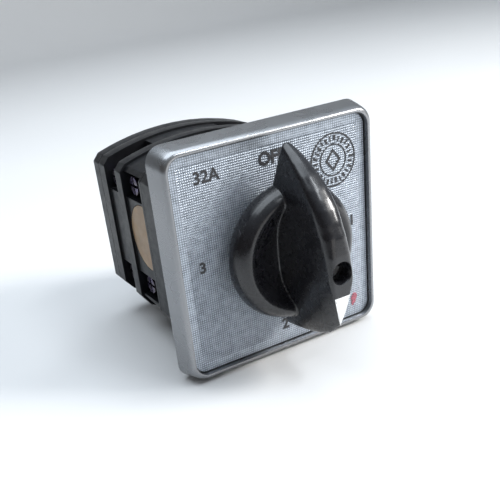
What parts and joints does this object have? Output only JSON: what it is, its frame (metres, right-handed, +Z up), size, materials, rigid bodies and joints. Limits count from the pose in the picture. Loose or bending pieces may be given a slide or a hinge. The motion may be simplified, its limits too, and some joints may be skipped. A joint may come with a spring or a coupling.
{
  "type": "rotary isolator switch",
  "caption": "Panel-mounted rotary isolator: square silver bezel with textured dial, black pointer knob on a square shaft, latch housing and stacked cam contact decks behind.",
  "frame": {"origin": "where the rotation axis crosses the panel plane, which is the rear face of the panel gasket", "axes": "+X to the right seen from the front, +Y back into the panel along the rotation axis, +Z up; the knob faces -Y"},
  "size_m": [0.064, 0.0879, 0.064],
  "materials": {
    "bezel_silver": "satin silver lacquer on a moulded frame",
    "dial_aluminium": "fine waffle-embossed, matt anodised",
    "knob_black": "gloss moulded",
    "pointer_white": "white inlay",
    "black_plastic": "satin moulded phenolic",
    "gasket_rubber": "matt foam rubber",
    "ivory_nylon": "natural nylon",
    "cam_grey": "moulded acetal",
    "copper": "bright copper alloy strip",
    "silver_tips": "silver alloy rivet",
    "zinc_screws": "zinc passivated, faint iridescence",
    "steel": "plated steel",
    "bronze": "sintered bronze"
  },
  "bodies": {
    "switch_body": {"bezel": "bezel_silver", "bezel_screws": "steel", "bridge_springs": "steel", "bridge_tips": "silver_tips", "clamp_washers_1": "zinc_screws", "clamp_washers_2": "zinc_screws", "contact_bridge_1_left": "copper", "contact_bridge_1_right": "copper", "contact_bridge_2_left": "copper", "contact_bridge_2_right": "copper", "contact_carrier_1_left": "ivory_nylon", "contact_carrier_1_right": "ivory_nylon", "contact_carrier_2_left": "ivory_nylon", "contact_carrier_2_right": "ivory_nylon", "deck_1_housing": "black_plastic", "deck_2_housing": "black_plastic", "detent_plungers": "ivory_nylon", "detent_rollers": "steel", "detent_springs": "steel", "dial_plate": "dial_aluminium", "flange_plate": "black_plastic", "front_bush": "bronze", "latch_cover": "black_plastic", "latch_housing": "black_plastic", "panel_gasket": "gasket_rubber", "rear_bush": "bronze", "rear_cover": "black_plastic", "stop_block": "black_plastic", "terminal_1_left_lower": "copper", "terminal_1_left_upper": "copper", "terminal_1_right_lower": "copper", "terminal_1_right_upper": "copper", "terminal_2_left_lower": "copper", "terminal_2_left_upper": "copper", "terminal_2_right_lower": "copper", "terminal_2_right_upper": "copper", "terminal_screws_1": "zinc_screws", "terminal_screws_2": "zinc_screws", "terminal_tips": "silver_tips", "tie_bolts": "steel", "tie_washers": "steel"},
    "rotor": {"knob": "knob_black", "knob_pointer": "pointer_white", "knob_screw": "steel", "knob_washer": "steel", "shaft": "steel", "shaft_clip": "steel", "star_wheel": "ivory_nylon", "stop_disc": "ivory_nylon", "cam_1_left": "cam_grey", "cam_1_right": "cam_grey", "cam_2_left": "cam_grey", "cam_2_right": "cam_grey"}
  },
  "joints": [
    {"name": "knob_turn", "type": "hinge", "parent": "switch_body", "child": "rotor", "pos_m": [0, 0, 0], "axis": [0, 1, 0], "range_deg": [-180, 90]}
  ]
}
